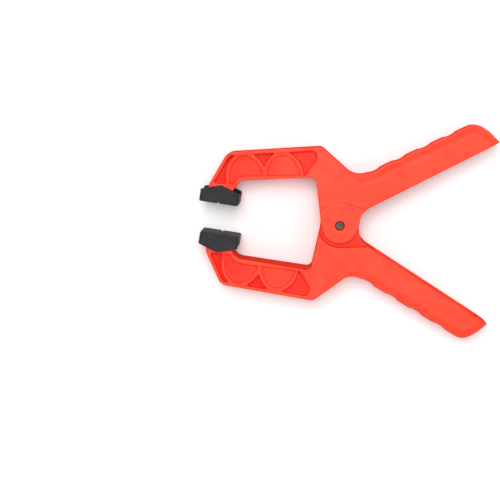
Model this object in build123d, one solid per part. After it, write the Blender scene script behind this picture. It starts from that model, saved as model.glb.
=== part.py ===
from build123d import *
import os
from math import acos, asin, atan, atan2, cos, degrees, radians, sin, sqrt

# Spring clamp, lying flat: two identical mouldings interlock at a hub and turn on one steel pin.
# The jaws point to -X, the handles to +X, and the pin runs along Z. Every piece is drawn about the
# pin's centre, and the whole assembly is moved at the end so that the origin is the middle of its
# underside. Millimetres and degrees.

# ---- thickness, measured along the pin from the middle plane
BODY_HALF = 10.4  # half thickness of jaw root, neck and handle
BOSS_STEP = 0.6  # how far the hub boss stands proud of the body
LUG_GAP = 0.2  # play between the lugs of the two arms
INNER_LUG_THICK = 2.4
TIP_HALF = 8.6  # half thickness of the jaw at the pad's pin

# ---- hub
PIN_R = 2.0
PIN_PLAY = 0.05  # radial play of a running fit
PIN_SUNK = 1.0  # how far each end of the pin lies below the boss
PIN_CHAMFER = 0.3
OUTER_LUG_R = 7.8
INNER_LUG_SHY = 0.6  # how far the inner lugs stay inside the coil's outside
TURNING_GAP = 1.2  # from the coil to the body of either arm
BOSS_R = 9.9
BOSS_SHOULDER = (12.3, 7.2)  # where the boss edge meets the handle
RECESS_SHOULDER = (13.2, 8.6)  # where the recess for the other arm's boss meets the handle
SHOULDER_BELOW = 2.0  # how far both run on below the shoulder's line to the pin
HUB_SIDE = 8.5  # from the pin to the handle side of the hub
HUB_STEP = 0.85  # how far the hub widens before it meets the handle
HUB_STEP_HEIGHT = 5.6
HUB_SIDE_FOOT = 1.0  # height above the pin where the hub's handle side begins
THROAT_FOOT = 0.6  # the same on its jaw side
LUG_FOOT = 0.8  # how far below the pin the jaw side runs into the lug
HUB_SIDE_R = 2.0
HUB_CORNER = 0.15  # small steps where the lug's disc runs into the hub's sides
HANDLE_ROOT = 14.3  # where the handle's inner edge meets the hub
HANDLE_ROOT_R = 1.2

# ---- jaw
THROAT_LOW = (-8.67, 3.05)  # hub end of the throat wall
THROAT_HIGH = (-11.65, 20.35)  # inner corner of the jaw
THROAT_R = 2.5
JAW_INNER_END = (-44.6, 17.1)
JAW_INNER_R = 5.0
JAW_OUTER_START = (-9.8, 33.67)
JAW_OUTER_START_R = 3.0
JAW_OUTER_END = (-50.7, 29.1)
JAW_OUTER_END_R = 4.4
TIP_OUTER_ANGLE = 62.6  # slope of the jaw's front edge
TIP_INNER_ANGLE = 58.0
TIP_BELOW = 3.6  # how far the tip reaches past the pad's pin
TIP_OUTER_R = 4.5
TIP_INNER_R = 4.0

# ---- pockets in both faces of the jaw
OUTER_RIM = 1.4
INNER_RIM = 2.0
RIB_SUNK = 0.6  # rib tops lie this far below the rim
ARCH_FLOOR = 2.0  # depth under the arches
SPANDREL_FLOOR = 3.5  # depth outside the arches
RIB_THICK = 1.5
NOSE_TOP = (-12.4, 31.9)
NOSE_TOP_R = 2.0
NOSE_SIDE = (-11.3, 28.2)
NOSE_SIDE_R = 3.5
NOSE_LOW = (-16.3, 20.9)
NOSE_LOW_R = 1.2
POCKET_FOOT_R = 0.8
POCKET_FOOT_ABOVE = 2.6  # height of the pocket's foot above the pad's pin
ARCHES = (  # centre x, centre y, half width, height, lean
    (-25.6, 19.4, 8.1, 10.6, 9.0),
    (-41.9, 18.2, 8.2, 10.6, 13.0),
)

# ---- handle, in its own lengths: s along it from the pin, n across it outwards
HANDLE_ANGLE = 30.0
HANDLE_INNER = 1.0
HANDLE_BACK = 14.55  # from the pin's line to the back of the handle, at the first valley
HANDLE_LEAD = 8.0  # how far the flat plate's edge runs on inside the handle
HANDLE_TAPER = 0.0295
NECK_POINT = (-4.0, 29.05)
NECK_ANGLE = -39.35
NECK_R = 9.0
NECK_RUN = 8.5  # how far the rounded back reaches up the neck, inside the flat plate
ROOT_INSIDE = (-6.0, 17.5)  # a point inside the neck where the handle's body starts
HANDLE_END = 78.0
END_SHOULDER = 5.3  # how far the handle's end leans back from its tip to its back
END_BULGE = 1.9  # how far the middle of the end stands back from the tip
END_CURVE_R = 14.0
END_ROUND_EXTRA = 2.0
EDGE_R = 4.5  # rounding along the back of neck and handle
VALLEY_FIRST = 24.5
VALLEY_STEP = 12.1
VALLEY_COUNT = 4
VALLEY_WIDTH = 6.6
VALLEY_DEPTH = 0.65
VALLEY_SIDE_DEPTH = 0.12  # what is left of the depth where the valley reaches the flat side
VALLEY_FADE_R = 12.0
VALLEY_FADE_ARC = 40.0
VALLEY_RISE = 1.5  # how far the valley's cut stands outside the handle
OUTER_WALL = 3.0
SIDE_WALL = 2.8
END_WALL = 4.8
CHANNEL_ROOT = 19.0  # up to here the channel is only as wide as the spring's space
CHANNEL_START = 2.0
CHANNEL_END_R = 3.0
CHANNEL_ROOT_R = 1.0
CHANNEL_OVER = 3.0  # how far the channel's cut starts outside the handle
RIB_FIRST = 44.0
RIB_STEP = 10.0
RIB_WALL = 1.6
RIB_BELOW = 2.0  # how far the ribs stand back from the handle's open side

# ---- spring
WIRE = 2.0
COIL_R = 7.5
COIL_GAP = 0.04  # between neighbouring turns
COIL_SIDE_GAP = 0.22  # between the coil and the inner lugs
FULL_TURNS = 3
LEG_PLACE = 36.0  # where the leg's end presses on the handle
LEG_GAP = 0.05
SPRING_BOSS_PLAY = 0.8  # radial play of the coil on the bosses that carry it
SPRING_BOSS_GAP = 0.2  # between the ends of the two bosses

# ---- pads, about their own pin
PAD_PIN_PLACE = (-52.8, 12.7)
PAD_LENGTH = 17.2
PAD_FACE = 6.0  # from pin to clamping face
PAD_END_HEIGHT = 5.3
PAD_PEAK_HEIGHT = 8.0
PAD_END_WALL = 1.2
PAD_FLOOR = 1.6
PAD_END_WALL_TOP = 4.8
PAD_SIDE_GAP = 0.1  # between the pad's cheek and the jaw, where the jaw is thickest
PAD_TILT = -5.65  # both pads lean this far about +Z in the stored pose
PAD_CORNER_R = 1.2
PAD_EDGE_R = 0.5
NOTCH_WIDTH = 1.2
NOTCH_DEPTH = 0.8
PAD_PIN_R = 1.0
PAD_PIN_REACH = 1.2  # how far the pin stands into each cheek
PAD_PIN_END_GAP = 0.2

FACE_HALF = BODY_HALF + BOSS_STEP
COIL_PITCH = WIRE + COIL_GAP
SPRING_BOSS_R = COIL_R - WIRE / 2 - SPRING_BOSS_PLAY
INNER_LUG_R = COIL_R + WIRE / 2 - INNER_LUG_SHY
HUB_CLEAR_R = COIL_R + WIRE / 2 + TURNING_GAP
CHANNEL_HALF = BODY_HALF - SIDE_WALL
TAPER = (BODY_HALF - TIP_HALF) / (THROAT_HIGH[0] - PAD_PIN_PLACE[0])
CAVITY_HALF = TIP_HALF + TAPER * PAD_LENGTH / 2 + PAD_SIDE_GAP
CHANNEL_END = HANDLE_END - END_WALL
RIB_COUNT = round((CHANNEL_END - RIB_FIRST) / RIB_STEP)
BIG = 200.0
WEDGE_LEAD = 20.0  # how far the tapering plane is carried on towards the hub
SLIVER = 0.1


def solid_between(outline, low, high):
    """The outline, a closed wire or a sketch, made solid from height low to height high."""
    face = outline if isinstance(outline, Sketch) else make_face(outline)
    return Pos(0, 0, low) * extrude(face, amount=high - low)


def disc(radius, low, high):
    """A round block about the pin from height low to height high."""
    return Pos(0, 0, (low + high) / 2) * Cylinder(radius, high - low)


def on_handle(s, n):
    """The point that lies s along the handle from the pin and n across it, outwards."""
    along = radians(HANDLE_ANGLE)
    return (s * cos(along) - n * sin(along), s * sin(along) + n * cos(along))


def outer_n(s):
    """Where the back of the handle lies at s."""
    return HANDLE_BACK - HANDLE_TAPER * (s - VALLEY_FIRST)


def line_meet(point_a, angle_a, point_b, angle_b):
    """Where two lines, each given by a point and a slope angle, cross."""
    dx = point_b[0] - point_a[0]
    dy = point_b[1] - point_a[1]
    across = sin(radians(angle_b - angle_a))
    run = (dx * sin(radians(angle_b)) - dy * cos(radians(angle_b))) / across
    return (point_a[0] + run * cos(radians(angle_a)), point_a[1] + run * sin(radians(angle_a)))


def moved_across(point, angle, distance):
    """The point moved to the left of a line with this slope angle."""
    return (point[0] - distance * sin(radians(angle)), point[1] + distance * cos(radians(angle)))


def moved_along(point, angle, distance):
    """The point moved along a line with this slope angle."""
    return (point[0] + distance * cos(radians(angle)), point[1] + distance * sin(radians(angle)))


def slope_of(start, end):
    """The slope angle of the line from start to end."""
    return degrees(atan2(end[1] - start[1], end[0] - start[0]))


def closed_outline(corners):
    """A face from corner points, each given with the radius that rounds it."""
    points = [point for point, radius in corners]
    radii = [radius for point, radius in corners]
    return make_face(FilletPolyline(*points, radius=radii, close=True))


def neck_line_at_n(n, slope=HANDLE_ANGLE):
    """Where the straight neck line meets a line with this slope that starts n across the handle."""
    return line_meet(NECK_POINT, NECK_ANGLE, on_handle(0, n), slope)


def plate_outline():
    """Side view of the flat part of one arm: hub, throat, jaw and neck."""
    foot = PAD_PIN_PLACE[1] - TIP_BELOW
    lug_side = OUTER_LUG_R - HUB_CORNER
    return closed_outline([
        ((lug_side, -HUB_CORNER), 0),
        ((HUB_SIDE, HUB_SIDE_FOOT), 0),
        ((HUB_SIDE + HUB_CORNER, THROAT_LOW[1]), HUB_SIDE_R),
        ((HUB_SIDE + HUB_STEP, HUB_STEP_HEIGHT), HUB_SIDE_R),
        (on_handle(HANDLE_ROOT, HANDLE_INNER), HANDLE_ROOT_R),
        (on_handle(HANDLE_ROOT + HANDLE_LEAD, HANDLE_INNER), 0),
        (neck_line_at_n(outer_n(CHANNEL_ROOT) - EDGE_R - SLIVER), 0),
        (JAW_OUTER_START, JAW_OUTER_START_R),
        (JAW_OUTER_END, JAW_OUTER_END_R),
        (line_meet(JAW_OUTER_END, TIP_OUTER_ANGLE, (0, foot), 0), TIP_OUTER_R),
        (line_meet(JAW_INNER_END, TIP_INNER_ANGLE, (0, foot), 0), TIP_INNER_R),
        (JAW_INNER_END, JAW_INNER_R),
        (THROAT_HIGH, THROAT_R),
        (THROAT_LOW, HUB_SIDE_R),
        ((THROAT_LOW[0] + HUB_CORNER, THROAT_FOOT), 0),
        ((-lug_side, -LUG_FOOT), 0),
    ])


def handle_body():
    """The handle with its rounded back, from inside the neck to its end."""
    back_angle = slope_of(on_handle(0, outer_n(0)), on_handle(HANDLE_END, outer_n(HANDLE_END)))
    bend = neck_line_at_n(outer_n(0), back_angle)
    shoulder = HANDLE_END - END_SHOULDER
    outline = closed_outline([
        (ROOT_INSIDE, 0),
        (on_handle(HANDLE_ROOT + HANDLE_LEAD, HANDLE_INNER), 0),
        (on_handle(HANDLE_END, HANDLE_INNER), 0),
        (on_handle(HANDLE_END - END_BULGE, (HANDLE_INNER + outer_n(shoulder)) / 2), END_CURVE_R),
        (on_handle(shoulder, outer_n(shoulder)), EDGE_R + END_ROUND_EXTRA),
        (bend, NECK_R),
        (moved_along(bend, NECK_ANGLE, -NECK_RUN), 0),
    ])
    body = solid_between(outline, -BODY_HALF, BODY_HALF)
    back = [edge for edge in body.edges() if on_back(edge)]
    return fillet(back, EDGE_R)


def on_back(edge):
    """Whether an edge runs along the back of the handle, on either face."""
    ends = (edge @ 0, edge @ 1)
    flat = all(abs(abs(point.Z) - BODY_HALF) < SLIVER for point in ends)
    same_face = abs(ends[0].Z - ends[1].Z) < SLIVER
    inside = min(sqrt((p.X - ROOT_INSIDE[0]) ** 2 + (p.Y - ROOT_INSIDE[1]) ** 2) for p in ends)
    inner_side = all(abs(across_handle(point) - HANDLE_INNER) < SLIVER for point in ends)
    return flat and same_face and inside > SLIVER and not inner_side


def across_handle(point):
    """How far a point lies across the handle, outwards."""
    return point.Y * cos(radians(HANDLE_ANGLE)) - point.X * sin(radians(HANDLE_ANGLE))


def tapered_wedge(depth):
    """All space further out than the jaw's tapering face, sunk by depth, towards +Z."""
    block = Pos(WEDGE_LEAD - BIG / 2, 0, BIG / 2) * Box(BIG, BIG, BIG)
    return Pos(THROAT_HIGH[0], 0, BODY_HALF - depth) * Rot(0, -degrees(atan(TAPER)), 0) * block


def both_faces(cut):
    """A cut made on the +Z face, and its mirror image on the other face."""
    return cut + mirror(cut, about=Plane.XY)


def arches(grow):
    """The two round arches of the jaw's ribs, larger by grow all round, and the leg to the tip."""
    shapes = [
        Pos(x, y) * Rot(0, 0, lean) * Ellipse(half_width + grow, height + grow)
        for x, y, half_width, height, lean in ARCHES
    ]
    x, y, half_width, height, lean = ARCHES[-1]
    leg = Rectangle(half_width + grow, y, align=(Align.MAX, Align.MAX))
    return shapes[0] + shapes[1] + Pos(x, y) * leg


def pocket_outline():
    """The pocket in the jaw's face, inside its rims, with a round nose beside the hub."""
    inner_angle = slope_of(JAW_INNER_END, THROAT_HIGH)
    outer_angle = slope_of(JAW_OUTER_END, JAW_OUTER_START)
    inner = moved_across(THROAT_HIGH, inner_angle, INNER_RIM)
    outer = moved_across(JAW_OUTER_START, outer_angle, -OUTER_RIM)
    front = moved_across(JAW_OUTER_END, TIP_OUTER_ANGLE, -OUTER_RIM)
    tip_inner = moved_across(JAW_INNER_END, TIP_INNER_ANGLE, OUTER_RIM)
    foot = (0, PAD_PIN_PLACE[1] + POCKET_FOOT_ABOVE)
    return closed_outline([
        (line_meet(outer, outer_angle, NOSE_TOP, 90), NOSE_TOP_R),
        (NOSE_SIDE, NOSE_SIDE_R),
        (NOSE_LOW, NOSE_LOW_R),
        (line_meet(inner, inner_angle, tip_inner, TIP_INNER_ANGLE), JAW_INNER_R + OUTER_RIM),
        (line_meet(foot, 0, tip_inner, TIP_INNER_ANGLE), POCKET_FOOT_R),
        (line_meet(foot, 0, front, TIP_OUTER_ANGLE), POCKET_FOOT_R),
        (line_meet(front, TIP_OUTER_ANGLE, outer, outer_angle), JAW_OUTER_END_R - OUTER_RIM),
    ])


def pockets():
    """What is cut from one face of the jaw: rib tops, spandrels and arch floors."""
    pocket = pocket_outline()
    layers = [
        (pocket, RIB_SUNK),
        (pocket - arches(RIB_THICK / 2), SPANDREL_FLOOR),
        (pocket & arches(-RIB_THICK / 2), ARCH_FLOOR),
    ]
    cut = None
    for region, depth in layers:
        layer = extrude(region, amount=BIG / 2) & tapered_wedge(depth)
        cut = layer if cut is None else cut + layer
    return cut


def valley(place):
    """Half of a shallow finger valley: over the back, round the edge, fading out on the side."""
    lens_r = ((VALLEY_WIDTH / 2) ** 2 + VALLEY_DEPTH**2) / (2 * VALLEY_DEPTH)
    back = outer_n(place)
    flat = BODY_HALF - EDGE_R + VALLEY_DEPTH - VALLEY_SIDE_DEPTH
    disc_face = Pos(*on_handle(place, back - VALLEY_DEPTH + lens_r)) * Circle(lens_r)
    band = Rectangle(BIG, VALLEY_RISE + 2 * VALLEY_DEPTH, align=(Align.CENTER, Align.MAX))
    section = disc_face & (Pos(*on_handle(place, back + VALLEY_RISE)) * Rot(0, 0, HANDLE_ANGLE) * band)
    along = on_handle(1, 0)
    outward = on_handle(0, 1)
    frame = Plane(origin=on_handle(place, back - EDGE_R), x_dir=outward, z_dir=along)
    run = Line((EDGE_R, 0), (EDGE_R, flat))
    corner = JernArc(start=run @ 1, tangent=run % 1, radius=EDGE_R, arc_size=90)
    fade = JernArc(start=corner @ 1, tangent=corner % 1, radius=VALLEY_FADE_R, arc_size=-VALLEY_FADE_ARC)
    return sweep(section, path=frame * Wire([run, corner, fade]))


def handle_channel(spring_half):
    """The hollow of the handle, open towards the other handle, with cross ribs left standing.

    Beside the hub it is only as wide as the spring's space."""
    floor_root = outer_n(CHANNEL_ROOT) - OUTER_WALL
    floor_end = outer_n(CHANNEL_END) - OUTER_WALL
    under = HANDLE_INNER - CHANNEL_OVER
    root_end = CHANNEL_ROOT + CHANNEL_ROOT_R
    root = closed_outline([
        (on_handle(CHANNEL_START, under), 0),
        (on_handle(root_end, under), 0),
        (on_handle(root_end, floor_root), 0),
        (on_handle(CHANNEL_START, floor_root), 0),
    ])
    main = closed_outline([
        (on_handle(CHANNEL_ROOT, under), 0),
        (on_handle(CHANNEL_END, under), 0),
        (on_handle(CHANNEL_END, floor_end), CHANNEL_END_R),
        (on_handle(CHANNEL_ROOT, floor_root), CHANNEL_ROOT_R),
    ])
    hollow = solid_between(main, -CHANNEL_HALF, CHANNEL_HALF)
    for number in range(RIB_COUNT):
        low = on_handle(RIB_FIRST + number * RIB_STEP, HANDLE_INNER + RIB_BELOW)
        rib = Rectangle(RIB_WALL, BIG, align=(Align.CENTER, Align.MIN))
        rib = Pos(*low) * Rot(0, 0, HANDLE_ANGLE) * rib
        hollow -= solid_between(rib, -BODY_HALF, BODY_HALF)
    return hollow + solid_between(root, -spring_half, spring_half)


def shouldered_disc(radius, shoulder):
    """A disc about the pin with a straight tangent edge that runs on to a shoulder point."""
    reach = sqrt(shoulder[0] ** 2 + shoulder[1] ** 2)
    touch_angle = radians(slope_of((0, 0), shoulder)) + acos(radius / reach)
    touch = (radius * cos(touch_angle), radius * sin(touch_angle))
    below = (shoulder[0], -SHOULDER_BELOW)
    return Circle(radius) + Polygon((0, 0), below, shoulder, touch, align=None)


def arm(outer_bore):
    """The upper arm. The lower one is the same moulding turned over about the X axis."""
    lug_in, lug_out, outer_lug_in = hub_heights()
    plate = plate_outline()
    body = solid_between(plate, -BODY_HALF, BODY_HALF) + handle_body()
    body -= both_faces(tapered_wedge(0))
    body -= both_faces(pockets())
    for number in range(VALLEY_COUNT):
        body -= both_faces(valley(VALLEY_FIRST + number * VALLEY_STEP))
    body -= handle_channel(lug_in)
    body -= disc(HUB_CLEAR_R, -lug_in, outer_lug_in)
    body -= solid_between(shouldered_disc(HUB_CLEAR_R, RECESS_SHOULDER), -BIG, -lug_out)
    body += disc(INNER_LUG_R, -lug_out, -lug_in)
    body += disc(SPRING_BOSS_R, -lug_out, -SPRING_BOSS_GAP / 2)
    boss = shouldered_disc(BOSS_R, BOSS_SHOULDER) & plate
    body += solid_between(boss + Circle(OUTER_LUG_R), outer_lug_in, FACE_HALF)
    body -= disc(PIN_R + PIN_PLAY, -BODY_HALF, 0)
    body -= disc(outer_bore, lug_out, FACE_HALF)
    body -= Pos(*PAD_PIN_PLACE) * Cylinder(PAD_PIN_R, 4 * BODY_HALF)
    return body


def pin(radius, half_length):
    """A plain pin along Z with chamfered ends."""
    body = Cylinder(radius, 2 * half_length)
    rims = body.edges().filter_by(GeomType.CIRCLE)
    return chamfer(rims, PIN_CHAMFER)


def coil_turned():
    """Through how many degrees the coil winds between its two legs."""
    return 360 * FULL_TURNS + 360 - 2 * (leg_line()[0] + 90)


def hub_heights():
    """Inner face, outer face of the inner lug, and inner face of the outer lug, from the middle."""
    lug_in = (COIL_PITCH * coil_turned() / 360 + WIRE) / 2 + COIL_SIDE_GAP
    lug_out = lug_in + INNER_LUG_THICK
    return lug_in, lug_out, lug_out + LUG_GAP


def leg_line():
    """Slope angle of the upper spring leg, and its end, which presses on the handle from inside."""
    across = outer_n(LEG_PLACE) - OUTER_WALL - LEG_GAP - WIRE / 2
    end = on_handle(LEG_PLACE, across)
    reach = sqrt(end[0] ** 2 + end[1] ** 2)
    return slope_of((0, 0), end) - degrees(asin(COIL_R / reach)), end


def torsion_spring():
    """A left-hand coil about the pin with a straight leg in each handle."""
    angle, end = leg_line()
    touch = angle + 90
    height = COIL_PITCH * coil_turned() / 360
    coil = Helix(pitch=COIL_PITCH, height=height, radius=COIL_R, lefthand=True)
    coil = Pos(0, 0, -height / 2) * Rot(0, 0, -touch) * coil
    low_leg = Line((end[0], -end[1], -height / 2), coil @ 0)
    high_leg = Line(coil @ 1, (end[0], end[1], height / 2))
    path = Wire([low_leg, coil, high_leg])
    section = Plane(origin=path @ 0, z_dir=path % 0) * Circle(WIRE / 2)
    return sweep(section, path=path, transition=Transition.TRANSFORMED)


def pad():
    """A jaw pad about its own pin: a rubber cup whose closed face points to -Y."""
    low = -PAD_FACE
    half = PAD_LENGTH / 2
    side = low + PAD_END_HEIGHT
    peak = low + PAD_PEAK_HEIGHT
    corners = [(-half, low), (half, low), (half, side), (0, peak), (-half, side)]
    body = solid_between(Polygon(*corners, align=None), -FACE_HALF, FACE_HALF)
    body = fillet(body.edges().filter_by(Axis.Y), PAD_CORNER_R)
    face_rim = body.faces().sort_by(Axis.Y)[0].edges()
    body = fillet(face_rim, PAD_EDGE_R)
    room = half - PAD_END_WALL
    body -= Pos(0, low + PAD_FLOOR + BIG / 2) * Box(2 * room, BIG, 2 * CAVITY_HALF)
    body -= Pos(0, low + PAD_END_WALL_TOP + BIG / 2) * Box(BIG, BIG, 2 * CAVITY_HALF)
    body -= Cylinder(PAD_PIN_R + PIN_PLAY, 2 * (CAVITY_HALF + PAD_PIN_REACH + PAD_PIN_END_GAP))
    below = low - NOTCH_DEPTH
    notch = [(-NOTCH_WIDTH, below), (NOTCH_WIDTH, below), (0, low + NOTCH_DEPTH)]
    return body - solid_between(Polygon(*notch, align=None), -BIG, BIG)


def turned_over(shape):
    """A piece turned half round about the X axis, which swaps upper and lower."""
    return Rot(180, 0, 0) * shape


def pieces():
    """Every piece in its place about the pin, by name."""
    upper = Pos(*PAD_PIN_PLACE)
    lower = Pos(PAD_PIN_PLACE[0], -PAD_PIN_PLACE[1])
    pad_pin = pin(PAD_PIN_R, CAVITY_HALF + PAD_PIN_REACH)
    return {
        "upper_arm": arm(PIN_R + PIN_PLAY),
        "lower_arm": turned_over(arm(PIN_R)),
        "pivot_pin": pin(PIN_R, FACE_HALF - PIN_SUNK),
        "torsion_spring": torsion_spring(),
        "upper_pad": upper * Rot(0, 0, PAD_TILT) * pad(),
        "lower_pad": lower * Rot(0, 0, PAD_TILT) * turned_over(pad()),
        "upper_pad_pin": upper * pad_pin,
        "lower_pad_pin": lower * pad_pin,
    }


def main():
    os.makedirs("parts", exist_ok=True)
    placed = pieces()
    boxes = [shape.bounding_box() for shape in placed.values()]
    middle_x = (min(box.min.X for box in boxes) + max(box.max.X for box in boxes)) / 2
    middle_y = (min(box.min.Y for box in boxes) + max(box.max.Y for box in boxes)) / 2
    underside = min(box.min.Z for box in boxes)
    for name, shape in placed.items():
        export_step(Pos(-middle_x, -middle_y, -underside) * shape, f"parts/{name}.step")


if __name__ == "__main__":
    main()
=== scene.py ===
from math import cos, radians, sin

import bmesh
import bpy
from mathutils import Matrix, Vector


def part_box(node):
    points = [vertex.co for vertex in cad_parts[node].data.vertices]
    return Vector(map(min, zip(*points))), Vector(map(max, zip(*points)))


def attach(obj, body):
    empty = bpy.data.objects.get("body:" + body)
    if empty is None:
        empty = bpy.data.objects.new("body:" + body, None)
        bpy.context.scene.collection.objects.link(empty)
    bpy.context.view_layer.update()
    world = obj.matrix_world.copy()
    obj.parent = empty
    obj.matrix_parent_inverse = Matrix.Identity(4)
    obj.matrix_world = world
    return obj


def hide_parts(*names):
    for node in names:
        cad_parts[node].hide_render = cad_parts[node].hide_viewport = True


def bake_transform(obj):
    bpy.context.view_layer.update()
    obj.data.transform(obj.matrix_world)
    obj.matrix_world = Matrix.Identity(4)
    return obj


MM = 0.001

# ---- camera, in mm and degrees
VIEW_WIDTH = 221.0  # how much the picture's width takes in at the hub's middle plane
AIM_RIGHT = -39.603  # the picture's middle from the hub, along the camera's right
AIM_UP = -11.625  # and along its up
CAMERA_AWAY = 658.0
SENSOR_WIDTH = 36
ROLL = 3.01  # the clamp's long axis falls to the right
TILT = 5.97  # the camera stands a little towards the upper arm
YAW = 2.83  # and a little towards the handles

# ---- studio, in metres and watts
SKY_STRENGTH = 0.62
GROUND_HALF = 3
LIGHTS = (  # name, place, size, power
    ("key", (-0.06, 0.2, 0.85), 0.4, 5.2),
    ("fill", (0.25, -0.1, 0.9), 0.6, 1.4),
)

# ---- mouldings
ARM_VOXEL_MM = 0.3
PAD_VOXEL_MM = 0.2
SMOOTH_PASSES = 3
SEAM_TOP_MM = 0.06  # half width of the mould seam's crest
SEAM_FOOT_MM = 0.2

# ---- the torsion spring, as in the CAD, in mm and degrees
WIRE_R = 1.0
COIL_R = 7.5
LEG_ANGLE = 34.19  # slope of each leg from the clamp's long axis
COIL_TURN = 1191.6  # from where one leg leaves the coil to where the other does
COIL_STEPS = 132
LEG_STEPS = 10
WIRE_SIDES = 18

# ---- colours, linear
NYLON_DARK = (0.79, 0.048, 0.021)
NYLON_LIGHT = (0.87, 0.064, 0.03)
NYLON_FLOW = (0.9, 0.074, 0.034)
# painted shade: the deeper red given to the pocket floors
NYLON_PAINTED_SHADE = (0.74, 0.01, 0.005)
NYLON_SPECK = (0.7, 0.035, 0.02)
NYLON_RUBBED = (0.93, 0.12, 0.07)
RUBBER_DARK = (0.015, 0.0145, 0.016)
RUBBER_LIGHT = (0.025, 0.0245, 0.027)
RUBBER_DUST = (0.05, 0.048, 0.046)
RUBBER_RUBBED = (0.06, 0.06, 0.062)
PIN_DARK = (0.035, 0.026, 0.02)
PIN_LIGHT = (0.075, 0.058, 0.045)
WIRE_DARK = (0.055, 0.05, 0.048)
WIRE_WORN = (0.16, 0.15, 0.14)
PAPER_DARK = (0.9, 0.9, 0.9)
PAPER_LIGHT = (0.915, 0.915, 0.915)

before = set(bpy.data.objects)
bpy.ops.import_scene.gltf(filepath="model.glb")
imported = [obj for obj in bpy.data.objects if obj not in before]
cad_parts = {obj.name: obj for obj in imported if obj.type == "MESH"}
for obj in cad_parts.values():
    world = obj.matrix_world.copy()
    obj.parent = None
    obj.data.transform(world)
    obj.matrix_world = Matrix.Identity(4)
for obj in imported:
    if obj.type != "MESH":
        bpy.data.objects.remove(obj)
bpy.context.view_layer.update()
pin_low, pin_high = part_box("pivot_pin")
HUB = (pin_low + pin_high) / 2
spring_low, spring_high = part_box("torsion_spring")
COIL_RISE = (spring_high.z - spring_low.z) / MM - 2 * WIRE_R


# ---------------------------------------------------------------- shader nodes


def start_material(name, metallic=0.0):
    """A new material: itself, its tree, its shader and the piece's own coordinates in metres."""
    made = bpy.data.materials.new(name)
    made.use_nodes = True
    tree = made.node_tree
    shader = tree.nodes["Principled BSDF"]
    shader.inputs["Metallic"].default_value = metallic
    return made, tree, shader, tree.nodes.new("ShaderNodeTexCoord").outputs["Object"]


def feed(tree, value, socket):
    """Gives a socket an output, a colour or a number."""
    if isinstance(value, bpy.types.NodeSocket):
        tree.links.new(value, socket)
    else:
        socket.default_value = (*value, 1) if isinstance(value, tuple) else value


def stretched(tree, place, scale, offset=(0, 0, 0), turn=(0, 0, 0)):
    """Coordinates scaled by different amounts along the axes."""
    mapping = tree.nodes.new("ShaderNodeMapping")
    mapping.inputs["Location"].default_value = offset
    mapping.inputs["Rotation"].default_value = turn
    mapping.inputs["Scale"].default_value = scale
    tree.links.new(place, mapping.inputs["Vector"])
    return mapping.outputs["Vector"]


def noise(tree, place, size_mm, detail, distortion=0.0):
    """Noise whose blotches are about this large."""
    made = tree.nodes.new("ShaderNodeTexNoise")
    made.inputs["Scale"].default_value = 1 / (size_mm * MM)
    made.inputs["Detail"].default_value = detail
    made.inputs["Distortion"].default_value = distortion
    tree.links.new(place, made.inputs["Vector"])
    return made.outputs["Fac"]


def ramp(tree, value, low, high):
    """A colour or grey for each value, from two (position, colour) stops."""
    made = tree.nodes.new("ShaderNodeValToRGB")
    for element, (position, colour) in zip(made.color_ramp.elements, (low, high)):
        element.position = position
        element.color = (*colour, 1) if isinstance(colour, tuple) else (colour, colour, colour, 1)
    tree.links.new(value, made.inputs["Fac"])
    return made.outputs["Color"]


def blotches(tree, place, size_mm, detail, low, high):
    """Noise of this size as a colour or grey, from two (position, colour) stops."""
    return ramp(tree, noise(tree, place, size_mm, detail), low, high)


def mixed(tree, factor, first, second):
    """Two colours mixed by a factor."""
    made = tree.nodes.new("ShaderNodeMix")
    made.data_type = "RGBA"
    sockets = [socket for socket in made.inputs if socket.enabled]
    for value, socket in zip((factor, first, second), sockets):
        feed(tree, value, socket)
    return next(socket for socket in made.outputs if socket.enabled)


def maths(tree, operation, first, second=0.0):
    """The result of one sum on two values."""
    made = tree.nodes.new("ShaderNodeMath")
    made.operation = operation
    feed(tree, first, made.inputs[0])
    feed(tree, second, made.inputs[1])
    return made.outputs["Value"]


def height_of(tree, vector):
    """The Z part of a vector."""
    split = tree.nodes.new("ShaderNodeSeparateXYZ")
    tree.links.new(vector, split.inputs["Vector"])
    return split.outputs["Z"]


def bumps(tree, shader, layers):
    """Stacks bump layers, each (height, depth in mm, strength), and gives them to the shader."""
    normal = None
    for height, depth_mm, strength in layers:
        made = tree.nodes.new("ShaderNodeBump")
        made.inputs["Strength"].default_value = strength
        made.inputs["Distance"].default_value = depth_mm * MM
        tree.links.new(height, made.inputs["Height"])
        if normal:
            tree.links.new(normal, made.inputs["Normal"])
        normal = made.outputs["Normal"]
    tree.links.new(normal, shader.inputs["Normal"])


# ---------------------------------------------------------------- materials


def gloss_facing_the_eye(tree, shader, level):
    """Gloss that goes out towards grazing angles, as on a dull moulded skin."""
    facing = tree.nodes.new("ShaderNodeLayerWeight")
    facing.inputs["Blend"].default_value = 0.5
    gloss = ramp(tree, facing.outputs["Facing"], (0.5, level), (0.85, 0.0))
    tree.links.new(gloss, shader.inputs["Specular IOR Level"])


def edge_wear(tree):
    """1 on rounded outer edges, 0 on flats and in corners."""
    pointed = tree.nodes.new("ShaderNodeNewGeometry").outputs["Pointiness"]
    return ramp(tree, pointed, (0.53, 0.0), (0.6, 1.0))


def scratches(tree, place, turn):
    """Sparse hair scratches along one direction."""
    along = stretched(tree, place, (1, 14, 14), turn=(0, 0, turn))
    return blotches(tree, along, 4.5, 1.0, (0.7, 0.0), (0.74, 1.0))


def from_middle(tree, place):
    """Distance from the clamp's middle plane, in mm."""
    height = maths(tree, "SUBTRACT", height_of(tree, place), HUB.z)
    return maths(tree, "DIVIDE", maths(tree, "ABSOLUTE", height), MM)


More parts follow.
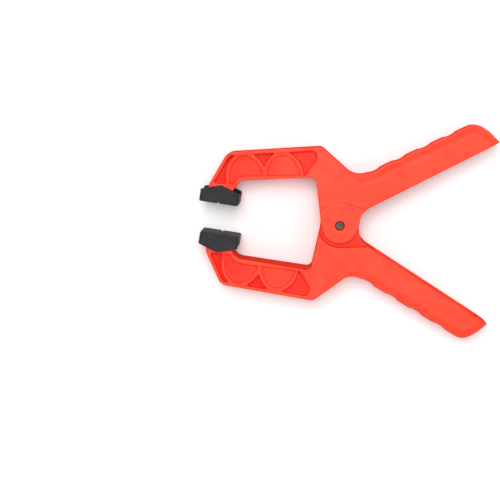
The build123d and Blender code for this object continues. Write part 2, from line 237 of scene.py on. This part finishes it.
def pocket_floor_painted_shade(tree, place):
    """Painted shade: 0 on the faces, rims and walls, nearly 1 on the floors of the deepest pockets,
    where a deeper red stands in for the shade and red bounce light there.
    """
    centimetres = maths(tree, "DIVIDE", from_middle(tree, place), 10.0)
    deep = ramp(tree, centimetres, (0.6, 0.95), (0.8, 0.0))
    normal = tree.nodes.new("ShaderNodeNewGeometry").outputs["Normal"]
    level = ramp(tree, maths(tree, "ABSOLUTE", height_of(tree, normal)), (0.5, 0.0), (0.9, 1.0))
    return maths(tree, "MULTIPLY", deep, level)


def nylon_colour(tree, place):
    """Mottled red with flow marks and specks, painted shade as a deeper red in the pockets, and
    paler on rubbed edges.
    """
    colour = blotches(tree, place, 9.0, 3.0, (0.35, NYLON_DARK), (0.65, NYLON_LIGHT))
    streaked = noise(tree, stretched(tree, place, (1, 3.5, 3.5)), 26.0, 2.0, 1.6)
    colour = mixed(tree, ramp(tree, streaked, (0.52, 0.0), (0.72, 0.5)), colour, NYLON_FLOW)
    # painted shade: the pocket floors get a deeper red in place of the shade that falls there
    colour = mixed(tree, pocket_floor_painted_shade(tree, place), colour, NYLON_PAINTED_SHADE)
    specks = blotches(tree, place, 0.5, 1.0, (0.62, 0.0), (0.74, 0.35))
    colour = mixed(tree, specks, colour, NYLON_SPECK)
    patches = blotches(tree, place, 5.0, 3.0, (0.4, 0.1), (0.65, 0.6))
    return mixed(tree, maths(tree, "MULTIPLY", edge_wear(tree), patches), colour, NYLON_RUBBED)


def arm_material():
    """Moulded orange-red nylon: satin, faintly mottled, a little paler where hands rub its edges."""
    made, tree, shader, place = start_material("arm_nylon")
    tree.links.new(nylon_colour(tree, place), shader.inputs["Base Color"])
    hair = maths(tree, "MAXIMUM", scratches(tree, place, 0.5), scratches(tree, place, -0.9))
    rough = blotches(tree, place, 3.0, 4.0, (0.3, 0.37), (0.7, 0.49))
    rough = mixed(tree, maths(tree, "MULTIPLY", hair, 0.6), rough, (0.62, 0.62, 0.62))
    tree.links.new(rough, shader.inputs["Roughness"])
    gloss_facing_the_eye(tree, shader, 0.12)
    shader.inputs["Subsurface Weight"].default_value = 0.15
    shader.inputs["Subsurface Radius"].default_value = (0.0012, 0.0004, 0.0002)
    shader.inputs["Subsurface Scale"].default_value = 1.0
    bumps(tree, shader, [
        (noise(tree, place, 7.0, 1.0), 0.12, 0.5),
        (noise(tree, place, 0.42, 2.0), 0.016, 0.7),
        (maths(tree, "SUBTRACT", 1.0, hair), 0.01, 0.5),
        (ramp(tree, from_middle(tree, place), (SEAM_TOP_MM, 1.0), (SEAM_FOOT_MM, 0.0)), 0.06, 1.0),
    ])
    return made


def pad_material():
    """Charcoal rubber: matt, fine grained, dusty in patches and rubbed on its edges."""
    made, tree, shader, place = start_material("pad_rubber")
    tone = blotches(tree, place, 4.0, 4.0, (0.3, RUBBER_DARK), (0.7, RUBBER_LIGHT))
    dust = blotches(tree, place, 0.7, 3.0, (0.55, 0.0), (0.8, 0.4))
    tone = mixed(tree, dust, tone, RUBBER_DUST)
    tone = mixed(tree, maths(tree, "MULTIPLY", edge_wear(tree), 0.6), tone, RUBBER_RUBBED)
    tree.links.new(tone, shader.inputs["Base Color"])
    rough = blotches(tree, place, 1.5, 3.0, (0.3, 0.55), (0.7, 0.72))
    tree.links.new(rough, shader.inputs["Roughness"])
    shader.inputs["Specular IOR Level"].default_value = 0.18
    bumps(tree, shader, [
        (noise(tree, place, 2.5, 2.0), 0.05, 0.4),
        (noise(tree, place, 0.3, 2.0), 0.02, 0.8),
    ])
    return made


def pin_material():
    """Dull stained steel with the rings of its cut end."""
    made, tree, shader, place = start_material("pin_steel", metallic=1.0)
    rings = tree.nodes.new("ShaderNodeTexWave")
    rings.wave_type = "RINGS"
    rings.rings_direction = "Z"
    rings.inputs["Scale"].default_value = 1500
    rings.inputs["Distortion"].default_value = 1.5
    tree.links.new(stretched(tree, place, (1, 1, 1), offset=-HUB), rings.inputs["Vector"])
    stain = blotches(tree, place, 1.2, 4.0, (0.35, PIN_DARK), (0.65, PIN_LIGHT))
    tree.links.new(stain, shader.inputs["Base Color"])
    rough = blotches(tree, place, 0.6, 3.0, (0.3, 0.3), (0.7, 0.5))
    tree.links.new(rough, shader.inputs["Roughness"])
    bumps(tree, shader, [
        (rings.outputs["Fac"], 0.01, 0.5),
        (noise(tree, place, 0.5, 3.0), 0.01, 0.5),
    ])
    return made


def spring_material():
    """Oiled black spring wire with drawing lines and a few worn bright patches."""
    made, tree, shader, place = start_material("spring_wire", metallic=1.0)
    tone = blotches(tree, place, 1.6, 4.0, (0.35, WIRE_DARK), (0.7, WIRE_WORN))
    tree.links.new(tone, shader.inputs["Base Color"])
    rough = blotches(tree, place, 0.8, 3.0, (0.3, 0.26), (0.7, 0.48))
    tree.links.new(rough, shader.inputs["Roughness"])
    bumps(tree, shader, [(noise(tree, stretched(tree, place, (1, 1, 9)), 0.6, 2.0), 0.02, 0.5)])
    return made


def paper_material():
    """The plain pale ground."""
    made, tree, shader, place = start_material("ground_paper")
    tone = blotches(tree, place, 40.0, 2.0, (0.3, PAPER_DARK), (0.7, PAPER_LIGHT))
    tree.links.new(tone, shader.inputs["Base Color"])
    shader.inputs["Roughness"].default_value = 0.9
    return made


def paint(obj, material):
    """Gives a piece one material."""
    obj.data.materials.clear()
    obj.data.materials.append(material)


# ---------------------------------------------------------------- pieces


def add_object(name, mesh):
    """A new object in the scene."""
    made = bpy.data.objects.new(name, mesh)
    bpy.context.scene.collection.objects.link(made)
    return made


def add_built(name, maker):
    """A new object from a bmesh, which is used up."""
    mesh = bpy.data.meshes.new(name)
    maker.to_mesh(mesh)
    maker.free()
    return add_object(name, mesh)


def apply_modifiers(obj):
    """Makes an object's modifiers part of its mesh."""
    graph = bpy.context.evaluated_depsgraph_get()
    mesh = bpy.data.meshes.new_from_object(obj.evaluated_get(graph), depsgraph=graph)
    obj.modifiers.clear()
    obj.data = mesh


def moulded(node, body, material, voxel_mm):
    """A CAD node as a moulding: the same shape with the small soft edges that a mould leaves."""
    piece = add_object(f"{node}_moulding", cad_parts[node].data.copy())
    remesh = piece.modifiers.new("remesh", "REMESH")
    remesh.mode = "VOXEL"
    remesh.voxel_size = voxel_mm * MM
    smooth = piece.modifiers.new("smooth", "SMOOTH")
    smooth.factor = 0.5
    smooth.iterations = SMOOTH_PASSES
    apply_modifiers(piece)
    piece.data.polygons.foreach_set("use_smooth", [True] * len(piece.data.polygons))
    paint(piece, material)
    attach(piece, body)
    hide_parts(node)


def spring_path():
    """Middle line of the spring from the lower leg's end to the upper one's, in mm from the hub."""
    touch = radians(LEG_ANGLE + 90)
    half = COIL_RISE / 2
    corner = (spring_high - HUB) / MM
    end_x = corner.x - WIRE_R * sin(radians(LEG_ANGLE))
    end_y = corner.y - WIRE_R * cos(radians(LEG_ANGLE))
    low_end, high_end = Vector((end_x, -end_y, -half)), Vector((end_x, end_y, half))
    coil = []
    for step in range(COIL_STEPS + 1):
        share = step / COIL_STEPS
        angle = -touch - radians(COIL_TURN) * share
        coil.append(Vector((COIL_R * cos(angle), COIL_R * sin(angle), COIL_RISE * (share - 0.5))))
    low_leg = [low_end.lerp(coil[0], step / LEG_STEPS) for step in range(LEG_STEPS)]
    high_leg = [coil[-1].lerp(high_end, (step + 1) / LEG_STEPS) for step in range(LEG_STEPS)]
    return low_leg + coil + high_leg


def wire_ring(maker, point, ahead):
    """Corners of the wire's round section about a point of its path."""
    side = ahead.cross(Vector((0, 0, 1))).normalized()
    over = side.cross(ahead).normalized()
    ring = []
    for corner in range(WIRE_SIDES):
        angle = radians(360) * corner / WIRE_SIDES
        at = point + (side * cos(angle) + over * sin(angle)) * WIRE_R
        ring.append(maker.verts.new(HUB + at * MM))
    return ring


def wire_spring(material):
    """The spring as a round wire along its path: a coil between two straight legs."""
    path = spring_path()
    maker = bmesh.new()
    last = len(path) - 1
    rings = []
    for number, point in enumerate(path):
        rings.append(wire_ring(maker, point, path[min(number + 1, last)] - path[max(number - 1, 0)]))
    for first, second in zip(rings, rings[1:]):
        for corner in range(WIRE_SIDES):
            beside = (corner + 1) % WIRE_SIDES
            face = maker.faces.new((first[corner], first[beside], second[beside], second[corner]))
            face.smooth = True
    maker.faces.new(rings[0])
    maker.faces.new(rings[-1])
    bmesh.ops.recalc_face_normals(maker, faces=maker.faces)
    piece = add_built("spring_wire", maker)
    paint(piece, material)
    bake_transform(piece)
    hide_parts("torsion_spring")


# ---------------------------------------------------------------- camera and light


def photo_camera():
    """Looks straight down on the clamp but for a small tilt and yaw, as the photograph does."""
    roll, tilt, yaw = radians(ROLL), radians(TILT), radians(YAW)
    level_right = Vector((cos(roll), sin(roll), 0))
    level_up = Vector((-sin(roll), cos(roll), 0))
    back = Vector((0, 0, 1)) * cos(tilt) * cos(yaw)
    back = back + level_up * sin(tilt) + level_right * sin(yaw) * cos(tilt)
    back.normalize()
    right = level_up.cross(back).normalized()
    up = back.cross(right)
    aim = HUB + (right * AIM_RIGHT + up * AIM_UP) * MM
    data = bpy.data.cameras.new("camera")
    data.sensor_width = SENSOR_WIDTH
    data.lens = SENSOR_WIDTH * CAMERA_AWAY / VIEW_WIDTH
    camera = add_object("camera", data)
    turn = Matrix((right, up, back)).transposed().to_4x4()
    camera.matrix_world = Matrix.Translation(aim + back * CAMERA_AWAY * MM) @ turn
    bpy.context.scene.camera = camera


def area_light(name, place, size, power):
    """A round light that points at the hub."""
    data = bpy.data.lights.new(name, "AREA")
    data.shape = "DISK"
    data.size = size
    data.energy = power
    light = add_object(name, data)
    light.location = place
    light.rotation_euler = (HUB - Vector(place)).to_track_quat("-Z", "Y").to_euler()


def studio():
    """A pale ground under a soft white sky and round lights."""
    scene = bpy.context.scene
    scene.view_settings.view_transform = "Standard"
    scene.world = bpy.data.worlds.new("studio")
    scene.world.use_nodes = True
    sky = scene.world.node_tree.nodes["Background"]
    sky.inputs["Color"].default_value = (1, 1, 1, 1)
    sky.inputs["Strength"].default_value = SKY_STRENGTH
    maker = bmesh.new()
    bmesh.ops.create_grid(maker, x_segments=1, y_segments=1, size=GROUND_HALF)
    ground = add_built("ground", maker)
    paint(ground, paper_material())
    for name, place, size, power in LIGHTS:
        area_light(name, place, size, power)


nylon = arm_material()
rubber = pad_material()
pin_steel = pin_material()
for side in ("upper", "lower"):
    moulded(f"{side}_arm", f"{side}_half", nylon, ARM_VOXEL_MM)
for side in ("upper", "lower"):
    moulded(f"{side}_pad", f"{side}_pad_body", rubber, PAD_VOXEL_MM)
for node in ("pivot_pin", "upper_pad_pin", "lower_pad_pin"):
    paint(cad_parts[node], pin_steel)
wire_spring(spring_material())

photo_camera()
studio()
